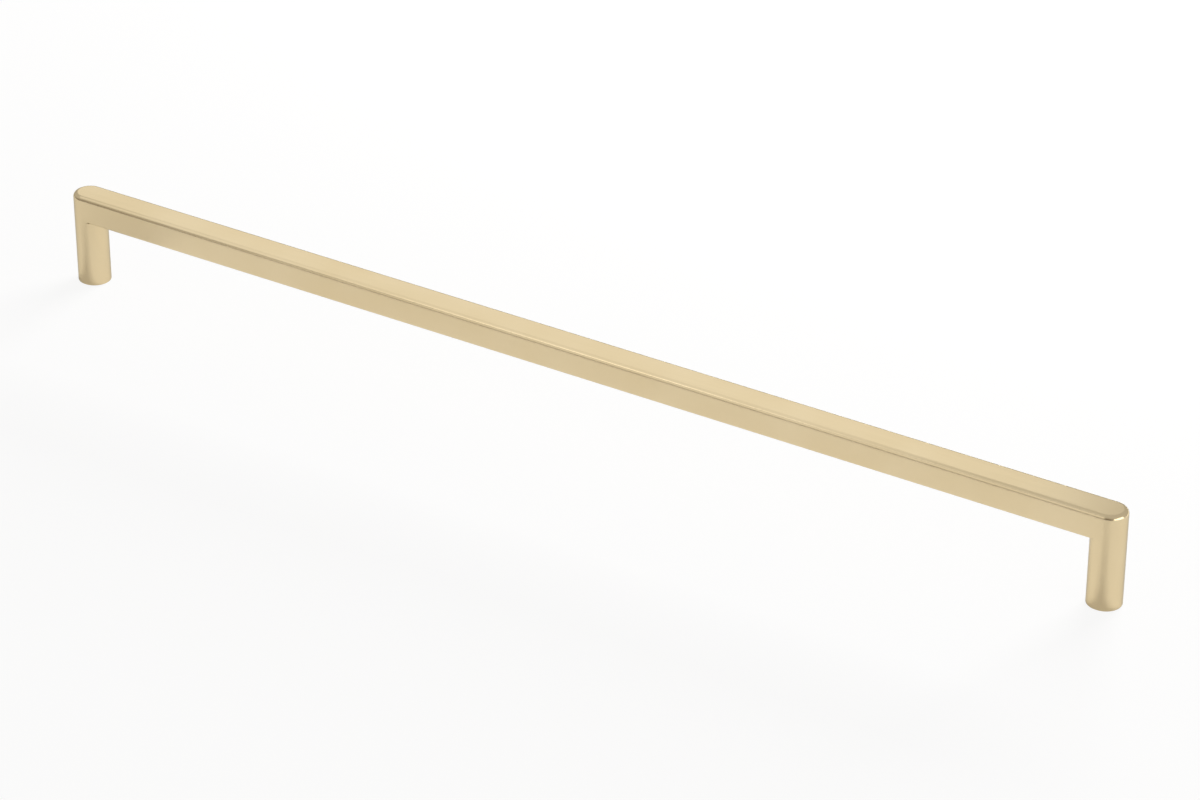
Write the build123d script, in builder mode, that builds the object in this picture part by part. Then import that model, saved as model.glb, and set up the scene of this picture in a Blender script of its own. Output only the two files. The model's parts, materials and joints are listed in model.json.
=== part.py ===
"""A slim bar handle for a cabinet door or drawer front, cast in one piece.

The handle stands on its two feet. +X runs along the bar and +Z points away from the door or drawer
front that it is screwed to. The origin is on the mounting plane, midway between the screw holes.
All sizes are in millimetres and angles in degrees.
"""

import os

from build123d import *

# Overall form: the spacing of the legs, the reach from the mounting plane and the bar's section
hole_spacing = 352.0
projection = 30.5
bar_width = 10.0
bar_thickness = 8.4

# Flat stretch between the round outer and the round inner half of a leg's section
leg_flat = 0.4

# Edges: the bar's top outline, its underside, the inner corner at each leg and the feet
top_edge_radius = 1.2
bottom_edge_radius = 0.5
inner_corner_radius = 0.5
foot_edge_chamfer = 0.25

# Blind tapped hole in each foot for a metric screw, with a countersunk mouth
thread_diameter = 4.0
thread_pitch = 0.7
hole_depth = 14.0
mouth_margin = 0.2
mouth_angle = 90.0

# Worked out from the sizes above
underside_height = projection - bar_thickness
bar_side_height = underside_height + bottom_edge_radius
leg_height = projection - top_edge_radius
inner_corner_width = bar_width - bottom_edge_radius
core_radius = (thread_diameter - thread_pitch) / 2
mouth_radius = thread_diameter / 2 + mouth_margin
leg_centres = [(-hole_spacing / 2, 0), (hole_spacing / 2, 0)]

# Bar and legs with a sharp corner between them
with BuildPart() as bar_on_legs:
    # The bar is a flat strip with full-round ends, softened all round its top and its underside
    with BuildSketch(Plane.XY.offset(underside_height)):
        SlotCenterToCenter(hole_spacing + leg_flat, bar_width)
    extrude(amount=bar_thickness)
    fillet(bar_on_legs.faces().sort_by(Axis.Z)[-1].edges(), radius=top_edge_radius)
    fillet(bar_on_legs.faces().sort_by(Axis.Z)[0].edges(), radius=bottom_edge_radius)

    # Each leg is as wide as the bar and runs up into it, so its outer half is flush with the bar's end
    with BuildSketch(Plane.XY):
        with Locations(leg_centres):
            SlotCenterToCenter(leg_flat, bar_width)
    extrude(amount=leg_height)

# The middle of the same body with the casting's rounded inner corners. It is cut half-way across the
# rounding of the bar's underside, so each corner follows its leg round and ends before it thins to nothing
with BuildPart() as inner_corners:
    add(bar_on_legs.part)
    with BuildSketch(Plane.XY):
        Rectangle(hole_spacing, inner_corner_width)
    extrude(amount=leg_height, mode=Mode.INTERSECT)
    sharp_corners = (
        inner_corners.edges()
        .filter_by_position(Axis.Z, underside_height - inner_corner_radius, bar_side_height)
        .filter_by(GeomType.LINE, reverse=True)
    )
    fillet(sharp_corners, radius=inner_corner_radius)

# The whole casting, with the sharp edge of each foot broken and a tapped hole in its middle
with BuildPart() as handle:
    add(bar_on_legs.part)
    add(inner_corners.part)
    chamfer(handle.faces().group_by(Axis.Z)[0].edges(), length=foot_edge_chamfer)
    with Locations(handle.faces().group_by(Axis.Z)[0]):
        CounterSinkHole(
            radius=core_radius,
            counter_sink_radius=mouth_radius,
            depth=hole_depth,
            counter_sink_angle=mouth_angle,
        )

handle.part.label = "handle"
os.makedirs("parts", exist_ok=True)
export_step(handle.part, "parts/handle.step")
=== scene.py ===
"""A slim cast bar handle in satin-brushed brass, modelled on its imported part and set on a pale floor.

Sizes are in metres, in the part's own frame: +X runs along the bar and +Z points away from the door or
drawer front that the handle is screwed to. The handle stands on its two feet.
"""

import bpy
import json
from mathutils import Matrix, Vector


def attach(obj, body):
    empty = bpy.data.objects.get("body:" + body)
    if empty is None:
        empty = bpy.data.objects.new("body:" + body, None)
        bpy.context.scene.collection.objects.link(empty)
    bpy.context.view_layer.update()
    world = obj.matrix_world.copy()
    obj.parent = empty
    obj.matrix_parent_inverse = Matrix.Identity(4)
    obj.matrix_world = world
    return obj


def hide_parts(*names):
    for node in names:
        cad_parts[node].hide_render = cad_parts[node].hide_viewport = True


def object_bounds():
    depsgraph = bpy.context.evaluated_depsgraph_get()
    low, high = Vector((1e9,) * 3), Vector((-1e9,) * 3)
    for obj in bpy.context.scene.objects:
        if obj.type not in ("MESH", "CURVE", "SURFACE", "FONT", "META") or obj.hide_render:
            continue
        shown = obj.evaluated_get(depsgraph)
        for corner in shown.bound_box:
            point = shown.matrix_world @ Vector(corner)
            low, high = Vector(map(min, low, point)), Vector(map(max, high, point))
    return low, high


bl_info = {
    "name": "Satin Brass Bar Handle",
    "version": (1, 0, 0),
    "blender": (4, 5, 0),
    "location": "3D View > Sidebar > Bar Handle",
    "description": "Models a cast bar handle with tapped feet, its brushed finish and a studio stage",
    "category": "Object",
}

import json
import math

import bmesh
import bpy
from bpy.props import FloatProperty, FloatVectorProperty, IntProperty, PointerProperty
from bpy.types import Operator, Panel, PropertyGroup
from mathutils import Quaternion, Vector

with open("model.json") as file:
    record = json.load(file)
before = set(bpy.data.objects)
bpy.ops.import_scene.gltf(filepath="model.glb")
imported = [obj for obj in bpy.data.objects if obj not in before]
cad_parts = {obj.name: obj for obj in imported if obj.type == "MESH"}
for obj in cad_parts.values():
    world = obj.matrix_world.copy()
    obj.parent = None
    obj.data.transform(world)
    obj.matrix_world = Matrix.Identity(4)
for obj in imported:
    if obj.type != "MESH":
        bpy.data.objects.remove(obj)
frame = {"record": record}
cad_low, cad_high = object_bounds()

mounts = {mount["name"]: mount for mount in frame["record"]["mounts"]}
screw_holes = mounts["screw_holes"]["dims"]

MM = 0.001
# Points nearer than NEAR count as one, and walls a HAIR apart don't coincide in a cut
NEAR = 0.001 * MM
HAIR = 10 * NEAR


# Kinds of setting


def linear(hex_colour):
    """Linear RGBA of an sRGB hex colour such as #E7D6B2."""
    channels = [int(hex_colour[i:i + 2], 16) / 255 for i in (1, 3, 5)]
    return (*(c / 12.92 if c <= 0.04045 else ((c + 0.055) / 1.055) ** 2.4 for c in channels), 1.0)


def length(name, description, default):
    """A size in metres that the sidebar shows in the scene's units."""
    return FloatProperty(
        name=name, description=description, default=default, min=0, precision=5, subtype="DISTANCE",
        unit="LENGTH",
    )


def steps(name, description, default, fewest):
    """A number of faces that a round form is drawn with."""
    return IntProperty(name=name, description=description, default=default, min=fewest)


def tint(name, description, hex_colour):
    """A colour, given as an sRGB hex value."""
    return FloatVectorProperty(
        name=name, description=description, default=linear(hex_colour), size=4, min=0, max=1, subtype="COLOR"
    )


def fraction(name, description, default):
    """A number from 0 to 1."""
    return FloatProperty(name=name, description=description, default=default, min=0, max=1, subtype="FACTOR")


def angle(name, description, degrees):
    """An angle, given in degrees."""
    return FloatProperty(
        name=name, description=description, default=math.radians(degrees), subtype="ANGLE", unit="ROTATION"
    )


class HandleSizes(PropertyGroup):
    """Sizes of the casting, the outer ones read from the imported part."""

    hole_spacing: length("Hole Spacing", "Distance between the screw holes", screw_holes["spacing_x_mm"] * MM)
    projection: length("Projection", "Height of the bar's top above the door", cad_high.z)
    bar_width: length("Bar Width", "Width of the bar and of each leg", cad_high.y - cad_low.y)
    bar_thickness: length("Bar Thickness", "Height of the bar from its underside to its top", 8.4 * MM)
    leg_flat: length("Leg Flat", "Flat stretch between the round halves of a leg", 0.4 * MM)
    # The photograph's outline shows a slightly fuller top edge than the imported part's 1.2 mm
    top_edge: length("Top Edge", "Radius of the rounding along the bar's top outline", 1.5 * MM)
    bottom_edge: length("Bottom Edge", "Radius of the rounding along the bar's underside", 0.5 * MM)
    inner_corner: length("Inner Corner", "Radius of the corner between leg and bar", 0.5 * MM)
    foot_edge: length("Foot Edge", "Size of the broken edge round each foot", 0.25 * MM)
    core_radius: length(
        "Core Radius", "Radius of the hole at the thread's crests", screw_holes["hole_r_mm"] * MM
    )
    thread_radius: length("Thread Radius", "Radius of the hole at the thread's roots", 2.0 * MM)
    thread_pitch: length("Thread Pitch", "Rise of the thread in one turn", 0.7 * MM)
    thread_depth: length("Thread Depth", "How far the thread runs into a foot", 12.0 * MM)
    hole_depth: length("Hole Depth", "Depth of the drilled hole", 14.0 * MM)
    mouth_radius: length("Mouth Radius", "Radius of the countersunk mouth at the foot", 2.2 * MM)
    round_steps: steps("Round Steps", "Sides of a leg's outline, a multiple of 4", 128, 16)
    edge_steps: steps("Edge Steps", "Rows across the top edge's rounding", 12, 2)
    corner_steps: steps("Corner Steps", "Rows across an inner corner", 6, 2)
    foot_steps: steps("Foot Steps", "Rows across the broken edge of a foot", 2, 1)
    thread_steps: steps("Thread Steps", "Sides of one turn of the thread", 48, 12)


class BrassFinish(PropertyGroup):
    """Colour and brushing of the plated surface."""

    brass: tint("Brass", "Colour of the brushed brass", "#E8D6B0")
    deep_brass: tint("Deep Brass", "Colour where the plating lies a little thicker", "#E4D1A9")
    edge_tint: tint("Edge Tint", "Colour of glancing reflections, which brass dulls a little", "#D2D2D0")
    roughness: fraction("Roughness", "Mean roughness of the satin surface", 0.19)
    roughness_spread: fraction("Roughness Spread", "How far the roughness varies from line to line", 0.04)
    line_width: length("Line Width", "Width of one brushed line", 0.4 * MM)
    line_length: length("Line Length", "Length of one brushed line", 30.0 * MM)
    line_depth: length("Line Depth", "Depth of the brushed lines", 0.002 * MM)
    cloud_size: length("Cloud Size", "Size of the faint changes of tone in the plating", 30.0 * MM)


class StudioStage(PropertyGroup):
    """Floor, light tent and the camera at the photograph's viewing angle."""

    floor_colour: tint("Floor", "Colour of the floor", "#F0F0F0")
    floor_size: length("Floor Size", "Side of the square floor", 8.0)
    floor_white_seen: fraction("White Seen", "Share of plain white in the floor as the camera sees it", 0.9)
    floor_white_mirrored: fraction(
        "White Mirrored", "Share of plain white in the floor as the metal mirrors it", 0.36
    )
    tent_white_mirrored: fraction(
        "Tent Mirrored", "Share of plain white in the light tent as the metal mirrors it", 0.5
    )
    room_colour: tint("Room", "Dim light that comes in at the tent's open front", "#7A7268")
    camera_aim: FloatVectorProperty(
        name="Camera Aim", description="Point in the middle of the picture", default=(0.0057, 0.0088, 0.0076),
        subtype="TRANSLATION", unit="LENGTH", precision=5,
    )
    camera_distance: length("Camera Distance", "Distance from the camera to its aim", 1.2835)
    camera_azimuth: angle("Camera Azimuth", "Turn of the view round the handle", 32.156)
    camera_elevation: angle("Camera Elevation", "Height angle of the view", 29.919)
    camera_roll: angle("Camera Roll", "Turn of the picture about its middle", 0.132)
    lens: FloatProperty(
        name="Lens", description="Focal length on a 36 mm wide sensor", default=130.45, min=1,
        subtype="DISTANCE_CAMERA",
    )


# Edit-mode selection


def pick(kind, test):
    """Select only the vertices or edges of the mesh being edited that pass a test."""
    bpy.ops.mesh.select_mode(type=kind)
    bpy.ops.mesh.select_all(action="DESELECT")
    data = bpy.context.object.data
    mesh = bmesh.from_edit_mesh(data)
    for item in {"VERT": mesh.verts, "EDGE": mesh.edges}[kind]:
        if test(item):
            item.select_set(True)
    mesh.select_flush_mode()
    bmesh.update_edit_mesh(data)


def pick_edges(inside):
    """Select the edges whose two ends both lie where the test says."""
    pick("EDGE", lambda edge: all(inside(vert.co) for vert in edge.verts))


def extrude_up(height):
    """Extrude the selected outline straight up into walls."""
    bpy.ops.mesh.extrude_edges_move(TRANSFORM_OT_translate={"value": (0, 0, height)})


def round_off(radius, rows):
    """Round the selected edges."""
    bpy.ops.mesh.bevel(offset=radius, segments=rows, profile=0.5, affect="EDGES", clamp_overlap=False)


# Casting


def underside(sizes):
    """Height of the bar's underside."""
    return sizes.projection - sizes.bar_thickness


def draw_leg_outlines(sizes):
    """Start the mesh with the outline of both legs: two half rounds with a short flat between them."""
    half = sizes.bar_width / 2
    half_step = math.pi / sizes.round_steps
    left = -sizes.hole_spacing / 2
    bpy.ops.object.select_all(action="DESELECT")
    # Turned by half a step, the circle has a short side, not a corner, where it is widest
    bpy.ops.mesh.primitive_circle_add(
        vertices=sizes.round_steps, radius=half / math.cos(half_step), location=(left, 0, 0),
        rotation=(0, 0, half_step),
    )
    bpy.ops.object.transform_apply(location=True, rotation=True, scale=True)
    handle = bpy.context.object
    handle.name = handle.data.name = "handle_casting"
    bpy.ops.object.mode_set(mode="EDIT")
    for side in (-1, 1):
        pick("VERT", lambda vert: (vert.co.x - left) * side > 0)
        bpy.ops.transform.translate(value=(side * sizes.leg_flat / 2, 0, 0))
    bpy.ops.mesh.select_all(action="SELECT")
    bpy.ops.mesh.duplicate_move(TRANSFORM_OT_translate={"value": (sizes.hole_spacing, 0, 0)})
    return handle


def raise_legs(sizes):
    """Raise both legs to the underside of the bar."""
    bpy.ops.mesh.select_mode(type="EDGE")
    bpy.ops.mesh.select_all(action="SELECT")
    extrude_up(underside(sizes))


def span_underside(sizes):
    """Bridge the inner halves of the legs with the bar's underside, and round that off along both sides."""
    low = underside(sizes)
    leg = sizes.hole_spacing / 2
    radius = sizes.bottom_edge
    flat = sizes.bar_width / 2 - radius
    pick_edges(lambda co: abs(co.x) < leg and co.z > low / 2)
    bpy.ops.mesh.bridge_edge_loops()
    data = bpy.context.object.data
    mesh = bmesh.from_edit_mesh(data)
    for vert in mesh.verts:
        past_flat = min(abs(vert.co.y) - flat, radius)
        if abs(vert.co.x) < leg and vert.co.z > low / 2 and past_flat > 0:
            vert.co.z = low + radius - math.sqrt(radius**2 - past_flat**2)
    bmesh.update_edit_mesh(data)


def raise_bar(sizes):
    """Raise the bar's sides from its outline, close its top and round the top edge."""
    low = underside(sizes)
    top = sizes.projection
    pick("EDGE", lambda edge: edge.is_boundary and all(vert.co.z > low / 2 for vert in edge.verts))
    extrude_up(sizes.bar_thickness)
    bpy.ops.transform.resize(value=(1, 1, 0), center_override=(0, 0, top))
    bpy.ops.mesh.edge_face_add()
    pick_edges(lambda co: co.z > top - NEAR)
    round_off(sizes.top_edge, sizes.edge_steps)


def close_feet(sizes):
    """Close the legs at the door and break the edge of each foot."""
    for side in (-1, 1):
        pick_edges(lambda co: co.z < NEAR and co.x * side > 0)
        bpy.ops.mesh.edge_face_add()
    pick_edges(lambda co: co.z < NEAR)
    round_off(sizes.foot_edge, sizes.foot_steps)


def round_inner_corners(sizes):
    """Round the corner where the inner half of each leg meets the underside."""
    low = underside(sizes) - NEAR
    high = low + sizes.bottom_edge + 2 * NEAR
    leg = sizes.hole_spacing / 2
    for side in (-1, 1):
        pick_edges(lambda co: 0 < co.x * side < leg and low < co.z < high)
        round_off(sizes.inner_corner, sizes.corner_steps)


# Tapped holes

# Slope of a metric thread's flanks, and the part of a pitch that is flat at its roots
FLANK_ANGLE = math.radians(30)
ROOT_FLAT = 1 / 8
# Turns that are wound past each end of the thread and then cut off
SPARE_TURNS = 2


def draw_thread_profile(sizes):
    """Draw one pitch of the thread's outline, from one crest to the next, by extruding a single point."""
    depth = sizes.thread_radius - sizes.core_radius
    flank = depth * math.tan(FLANK_ANGLE)
    root = sizes.thread_pitch * ROOT_FLAT
    crest = sizes.thread_pitch - 2 * flank - root
    moves = [(0, crest), (depth, flank), (0, root), (-depth, flank)]
    bpy.ops.object.select_all(action="DESELECT")
    bpy.ops.mesh.primitive_plane_add(size=sizes.thread_pitch)
    tap = bpy.context.object
    bpy.ops.object.mode_set(mode="EDIT")
    bpy.ops.mesh.merge(type="CENTER")
    bpy.ops.transform.translate(value=(sizes.core_radius, 0, -SPARE_TURNS * sizes.thread_pitch))
    for out, up in moves:
        bpy.ops.mesh.extrude_vertices_move(TRANSFORM_OT_translate={"value": (out, 0, up)})
    bpy.ops.object.mode_set(mode="OBJECT")
    return tap


def wind_thread(tap, sizes):
    """Wind the profile into a threaded rod, cut flat below the foot and at the thread's full depth."""
    winding = tap.modifiers.new("winding", "SCREW")
    winding.axis = "Z"
    winding.angle = 2 * math.pi
    winding.screw_offset = sizes.thread_pitch
    winding.iterations = math.ceil(sizes.thread_depth / sizes.thread_pitch) + 2 * SPARE_TURNS
    winding.steps = winding.render_steps = sizes.thread_steps
    winding.use_merge_vertices = True
    winding.merge_threshold = NEAR
    bpy.ops.object.modifier_apply(modifier=winding.name)
    bpy.ops.object.mode_set(mode="EDIT")
    bpy.ops.mesh.select_all(action="SELECT")
    bpy.ops.mesh.remove_doubles(threshold=NEAR)
    for height, keep_above in ((-sizes.thread_pitch / 2, True), (sizes.thread_depth, False)):
        bpy.ops.mesh.select_all(action="SELECT")
        bpy.ops.mesh.bisect(
            plane_co=(0, 0, height), plane_no=(0, 0, 1), use_fill=True, clear_inner=keep_above,
            clear_outer=not keep_above, threshold=NEAR / 10,
        )
    bpy.ops.mesh.select_all(action="SELECT")
    bpy.ops.mesh.normals_make_consistent(inside=False)
    bpy.ops.object.mode_set(mode="OBJECT")


def combine(body, tool, operation):
    """Join a tool to a body or cut it out of it, and remove the tool."""
    boolean = body.modifiers.new(operation.lower(), "BOOLEAN")
    boolean.object = tool
    boolean.operation = operation
    boolean.solver = "EXACT"
    bpy.context.view_layer.objects.active = body
    bpy.ops.object.modifier_apply(modifier=boolean.name)
    bpy.data.objects.remove(tool)


def make_tap(sizes):
    """Tool in the form of a tapped hole: thread, drilled end and countersunk mouth."""
    tap = draw_thread_profile(sizes)
    wind_thread(tap, sizes)
    # The drill is a hair slimmer than the thread's crests, so their walls don't coincide
    drill_length = sizes.hole_depth - sizes.thread_pitch
    bpy.ops.mesh.primitive_cylinder_add(
        vertices=sizes.thread_steps, radius=sizes.core_radius - HAIR, depth=drill_length,
        location=(0, 0, sizes.hole_depth - drill_length / 2),
    )
    combine(tap, bpy.context.object, "UNION")
    # At 90 degrees the countersink narrows as fast as it goes in
    low = -sizes.thread_pitch / 4
    high = sizes.mouth_radius - sizes.core_radius / 2
    bpy.ops.mesh.primitive_cone_add(
        vertices=sizes.thread_steps, radius1=sizes.mouth_radius - low, radius2=sizes.core_radius / 2,
        depth=high - low, location=(0, 0, (low + high) / 2),
    )
    combine(tap, bpy.context.object, "UNION")
    return tap


def tap_feet(handle, sizes):
    """Cut a tapped hole into each foot."""
    tap = make_tap(sizes)
    for side in (-1, 1):
        cutter = tap.copy()
        cutter.data = tap.data.copy()
        cutter.location.x = side * sizes.hole_spacing / 2
        bpy.context.collection.objects.link(cutter)
        combine(handle, cutter, "DIFFERENCE")
    bpy.data.objects.remove(tap)


# Edges that turn by less than this are shaded as one rounded surface
SMOOTH_ANGLE = math.radians(35)
# With this weight the larger of two faces decides the shading where they meet
LARGE_FACES_FIRST = 100


def smooth(piece):
    """Shade rounded faces smoothly and keep flat faces flat up to their rounded edges."""
    bpy.ops.object.select_all(action="DESELECT")
    piece.select_set(True)
    bpy.context.view_layer.objects.active = piece
    bpy.ops.object.shade_smooth_by_angle(angle=SMOOTH_ANGLE)
    weights = piece.modifiers.new("flat faces first", "WEIGHTED_NORMAL")
    weights.keep_sharp = True
    weights.weight = LARGE_FACES_FIRST
    bpy.ops.object.modifier_apply(modifier=weights.name)


# Materials

# A Mix node's colour sockets share their names with its number sockets, so they are found by their place
MIX_FIRST, MIX_SECOND, MIX_RESULT = 6, 7, 2
# Noise is mostly near its middle value of 0.5, and these stretches of it cover a whole change of finish
LINE_STRETCH = {"From Min": 0.3, "From Max": 0.7}
CLOUD_STRETCH = {"From Min": 0.35, "From Max": 0.65}


def add_node(tree, kind, settings=(), inputs=()):
    """Add a node with its settings, and give its inputs values or links."""
    node = tree.nodes.new(kind)
    for name, value in dict(settings).items():
        setattr(node, name, value)
    for name, value in dict(inputs).items():
        if isinstance(value, bpy.types.NodeSocket):
            tree.links.new(value, node.inputs[name])
        else:
            node.inputs[name].default_value = value
    return node


def new_material(name):
    """An empty node material, with its tree and its output node."""
    material = bpy.data.materials.new(name)
    material.use_nodes = True
    material.node_tree.nodes.clear()
    return material, material.node_tree, add_node(material.node_tree, "ShaderNodeOutputMaterial")


def satin_brushed_brass(finish, sizes):
    """Brass plating over a zinc casting, brushed to a satin sheen.

    The belt ran along the bar and down the legs, so reflections are soft and faint lines follow it. The
    lines are drawn about five times as wide as the real ones, which are too fine to show in a picture.
    """
    material, tree, output = new_material("satin_brushed_brass")
    place = add_node(tree, "ShaderNodeTexCoord").outputs["Object"]
    fine, along = 1 / finish.line_width, 1 / finish.line_length
    lines = []
    for name, scale in (("bar", (along, fine, fine)), ("legs", (fine, fine, along))):
        stretched = add_node(tree, "ShaderNodeMapping", {"label": f"Brushed along the {name}"},
                             {"Vector": place, "Scale": scale})
        lines.append(add_node(tree, "ShaderNodeTexNoise", {"label": f"Lines on the {name}"},
                              {"Vector": stretched.outputs["Vector"], "Scale": 1, "Detail": 3,
                               "Roughness": 0.6}).outputs["Fac"])
    height = add_node(tree, "ShaderNodeSeparateXYZ", {}, {"Vector": place}).outputs["Z"]
    on_bar = add_node(tree, "ShaderNodeMapRange", {"interpolation_type": "SMOOTHSTEP"},
                      {"Value": height, "From Min": underside(sizes) - sizes.inner_corner,
                       "From Max": underside(sizes) + sizes.bottom_edge})
    bar_lines, leg_lines = lines
    line = add_node(tree, "ShaderNodeMix", {"data_type": "FLOAT"},
                    {"Factor": on_bar.outputs["Result"], "A": leg_lines, "B": bar_lines})
    roughness = add_node(tree, "ShaderNodeMapRange", {},
                         {**LINE_STRETCH, "Value": line.outputs["Result"],
                          "To Min": finish.roughness - finish.roughness_spread,
                          "To Max": finish.roughness + finish.roughness_spread})
    clouds = add_node(tree, "ShaderNodeTexNoise", {"label": "Plating tone"},
                      {"Vector": place, "Scale": 1 / finish.cloud_size, "Detail": 2})
    tone = add_node(tree, "ShaderNodeMapRange", {}, {**CLOUD_STRETCH, "Value": clouds.outputs["Fac"]})
    colour = add_node(tree, "ShaderNodeMix", {"data_type": "RGBA"},
                      {"Factor": tone.outputs["Result"], MIX_FIRST: finish.brass,
                       MIX_SECOND: finish.deep_brass})
    bump = add_node(tree, "ShaderNodeBump", {},
                    {"Height": line.outputs["Result"], "Strength": 1, "Distance": finish.line_depth})
    metal = add_node(tree, "ShaderNodeBsdfPrincipled", {},
                     {"Base Color": colour.outputs[MIX_RESULT], "Roughness": roughness.outputs["Result"],
                      "Normal": bump.outputs["Normal"], "Metallic": 1, "Specular Tint": finish.edge_tint})
    tree.links.new(metal.outputs["BSDF"], output.inputs["Surface"])
    return material


# Stage

# Name, middle, way it faces, width, height and brightness of each soft light. False marks one that the metal
# doesn't mirror, which lights only the floor and draws the shadows there
SOFTBOXES = (
    ("back_key", (0.08, 0.90, 0.25), (0, -1, -0.25), 0.70, 0.20, 40, False),
    ("backdrop", (-0.635, 0.90, 0.62), (0, -1, 0), 0.79, 0.65, 0.37),
    ("overhead_stripe", (-0.36, -0.36, 0.65), (0, 0, -1), 0.20, 0.20, 0.56),
    ("front_card", (-0.455, -1.0, 0.535), (0, 1, 0), 0.71, 0.83, 0.42),
    ("right_window", (1.0, -0.25, 0.325), (-1, 0, 0), 1.10, 0.55, 1.3),
    ("ceiling", (-0.74, 0, 1.2), (0, 0, -1), 0.70, 2.00, 0.28),
)
# Watts for each square metre of a soft light that metal mirrors as plain white
WHITE_WATTS = 4
# The tent is whitest up and back along this direction, and opens low at the front. These are the heights
# along it where the tent begins and where it is full
TENT_TOP = (0, 0.7, 0.7)
TENT_BEGINS, TENT_FULL = -0.7, 0.3


def white_share(tree, seen, mirrored):
    """How much of a plain white the camera sees on the stage, and how much metal and glass show of it."""
    rays = add_node(tree, "ShaderNodeLightPath")
    bounced = add_node(tree, "ShaderNodeMath", {"operation": "ADD", "use_clamp": True},
                       {0: rays.outputs["Is Glossy Ray"], 1: rays.outputs["Is Transmission Ray"]})
    shown = add_node(tree, "ShaderNodeMath", {"operation": "MULTIPLY"}, {0: bounced.outputs[0], 1: mirrored})
    share = add_node(tree, "ShaderNodeMath", {"operation": "MULTIPLY_ADD"},
                     {0: rays.outputs["Is Camera Ray"], 1: seen, 2: shown.outputs[0]})
    return share.outputs[0]


def matt_white_paper(stage):
    """Matt white paper, seen as plain white but keeping the handle's soft shadow."""
    material, tree, output = new_material("matt_white_paper")
    paper = add_node(tree, "ShaderNodeBsdfDiffuse", {}, {"Color": stage.floor_colour})
    white = add_node(tree, "ShaderNodeEmission", {}, {"Strength": 1})
    share = white_share(tree, stage.floor_white_seen, stage.floor_white_mirrored)
    mix = add_node(tree, "ShaderNodeMixShader", {}, {0: share, 1: paper.outputs[0], 2: white.outputs[0]})
    tree.links.new(mix.outputs[0], output.inputs["Surface"])
    return material


def lay_floor(stage):
    """Lay a large sheet of paper under the handle."""
    bpy.ops.object.select_all(action="DESELECT")
    bpy.ops.mesh.primitive_plane_add(size=stage.floor_size)
    floor = bpy.context.object
    floor.name = "floor"
    floor.data.materials.append(matt_white_paper(stage))


def softbox(name, place, facing, width, height, brightness, mirrored=True):
    """A rectangular soft light that the camera doesn't see, mirrored as plain white at a brightness of 1."""
    light = bpy.data.lights.new(name, "AREA")
    light.shape = "RECTANGLE"
    light.size = width
    light.size_y = height
    light.energy = WHITE_WATTS * width * height * brightness
    lamp = bpy.data.objects.new(name, light)
    lamp.location = place
    lamp.rotation_euler = (-Vector(facing)).to_track_quat("Z", "Y").to_euler()
    lamp.visible_camera = False
    lamp.visible_glossy = mirrored
    bpy.context.collection.objects.link(lamp)


def light_studio(stage):
    """A white tent over the handle, open to a dim room low at the front, and the soft lights in it."""
    world = bpy.data.worlds.new("light_tent")
    bpy.context.scene.world = world
    world.use_nodes = True
    tree = world.node_tree
    tree.nodes.clear()
    place = add_node(tree, "ShaderNodeTexCoord").outputs["Generated"]
    up_and_back = add_node(tree, "ShaderNodeVectorMath", {"operation": "DOT_PRODUCT"},
                           {0: place, 1: TENT_TOP})
    tent = add_node(tree, "ShaderNodeMapRange", {"interpolation_type": "SMOOTHSTEP"},
                    {"Value": up_and_back.outputs["Value"], "From Min": TENT_BEGINS, "From Max": TENT_FULL,
                     "To Max": stage.tent_white_mirrored})
    room = add_node(tree, "ShaderNodeBackground", {}, {"Color": stage.room_colour})
    white = add_node(tree, "ShaderNodeBackground", {}, {"Color": (1, 1, 1, 1)})
    mix = add_node(tree, "ShaderNodeMixShader", {},
                   {0: white_share(tree, 1, tent.outputs["Result"]), 1: room.outputs[0], 2: white.outputs[0]})
    add_node(tree, "ShaderNodeOutputWorld", {}, {"Surface": mix.outputs[0]})
    for row in SOFTBOXES:
        softbox(*row)


def set_camera(stage):
    """Stand the camera where the photograph was taken from."""
    turn, lift = stage.camera_azimuth, stage.camera_elevation
    back = Vector((math.sin(turn) * math.cos(lift), -math.cos(turn) * math.cos(lift), math.sin(lift)))
    lens = bpy.data.cameras.new("photo_camera")
    lens.lens = stage.lens
    camera = bpy.data.objects.new("photo_camera", lens)
    camera.location = Vector(stage.camera_aim) + back * stage.camera_distance
    roll = Quaternion((0, 0, 1), stage.camera_roll)
    camera.rotation_euler = (back.to_track_quat("Z", "Y") @ roll).to_euler()
    bpy.context.collection.objects.link(camera)
    bpy.context.scene.camera = camera


# Operators and panel


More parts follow.
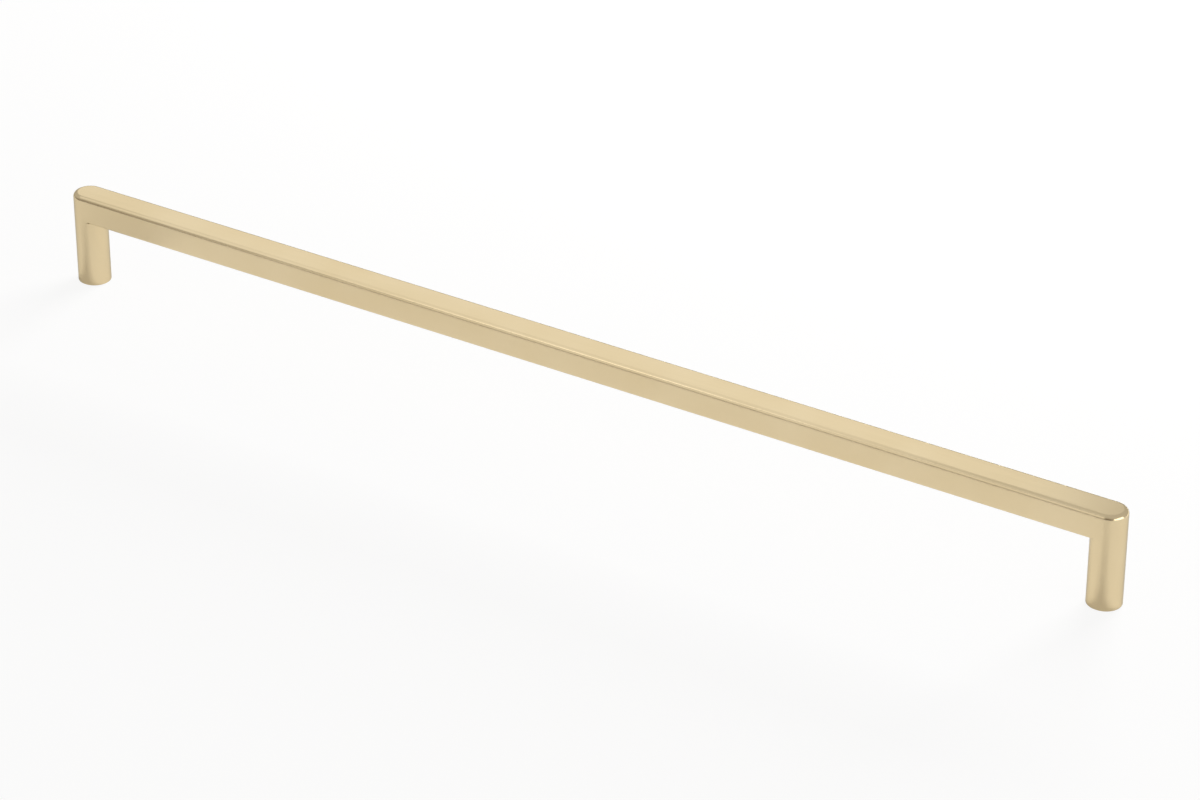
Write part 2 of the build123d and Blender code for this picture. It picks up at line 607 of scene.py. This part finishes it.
class BARHANDLE_OT_model_handle(Operator):
    """Model the handle in one casting, tap its feet and give it its brushed finish"""

    bl_idname = "bar_handle.model_handle"
    bl_label = "Model Handle"

    def execute(self, context):
        sizes = context.scene.handle_sizes
        handle = draw_leg_outlines(sizes)
        raise_legs(sizes)
        span_underside(sizes)
        raise_bar(sizes)
        close_feet(sizes)
        round_inner_corners(sizes)
        bpy.ops.mesh.select_all(action="SELECT")
        bpy.ops.mesh.normals_make_consistent(inside=False)
        bpy.ops.object.mode_set(mode="OBJECT")
        tap_feet(handle, sizes)
        smooth(handle)
        handle.data.materials.append(satin_brushed_brass(context.scene.brass_finish, sizes))
        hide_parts("handle")
        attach(handle, "root")
        return {"FINISHED"}


class BARHANDLE_OT_set_stage(Operator):
    """Lay the pale floor, hang the soft lights and stand the camera"""

    bl_idname = "bar_handle.set_stage"
    bl_label = "Set Stage"

    def execute(self, context):
        stage = context.scene.studio_stage
        context.scene.view_settings.view_transform = "Standard"
        lay_floor(stage)
        light_studio(stage)
        set_camera(stage)
        return {"FINISHED"}


class BARHANDLE_PT_sidebar(Panel):
    """Sizes, finish and stage of the bar handle"""

    bl_label = "Bar Handle"
    bl_space_type = "VIEW_3D"
    bl_region_type = "UI"
    bl_category = "Bar Handle"

    def draw(self, context):
        for operator, groups in PANEL_ROWS:
            box = self.layout.box()
            for group in groups:
                settings = getattr(context.scene, group)
                for prop in settings.bl_rna.properties:
                    if not prop.is_readonly and prop.identifier != "name":
                        box.prop(settings, prop.identifier)
            box.operator(operator)


PANEL_ROWS = (
    ("bar_handle.model_handle", ("handle_sizes", "brass_finish")),
    ("bar_handle.set_stage", ("studio_stage",)),
)

CLASSES = (
    HandleSizes,
    BrassFinish,
    StudioStage,
    BARHANDLE_OT_model_handle,
    BARHANDLE_OT_set_stage,
    BARHANDLE_PT_sidebar,
)


def register():
    for cls in CLASSES:
        bpy.utils.register_class(cls)
    bpy.types.Scene.handle_sizes = PointerProperty(type=HandleSizes)
    bpy.types.Scene.brass_finish = PointerProperty(type=BrassFinish)
    bpy.types.Scene.studio_stage = PointerProperty(type=StudioStage)


def unregister():
    del bpy.types.Scene.studio_stage
    del bpy.types.Scene.brass_finish
    del bpy.types.Scene.handle_sizes
    for cls in reversed(CLASSES):
        bpy.utils.unregister_class(cls)


def main():
    """Build everything in order."""
    register()
    bpy.ops.bar_handle.model_handle()
    bpy.ops.bar_handle.set_stage()


if __name__ == "__main__":
    main()
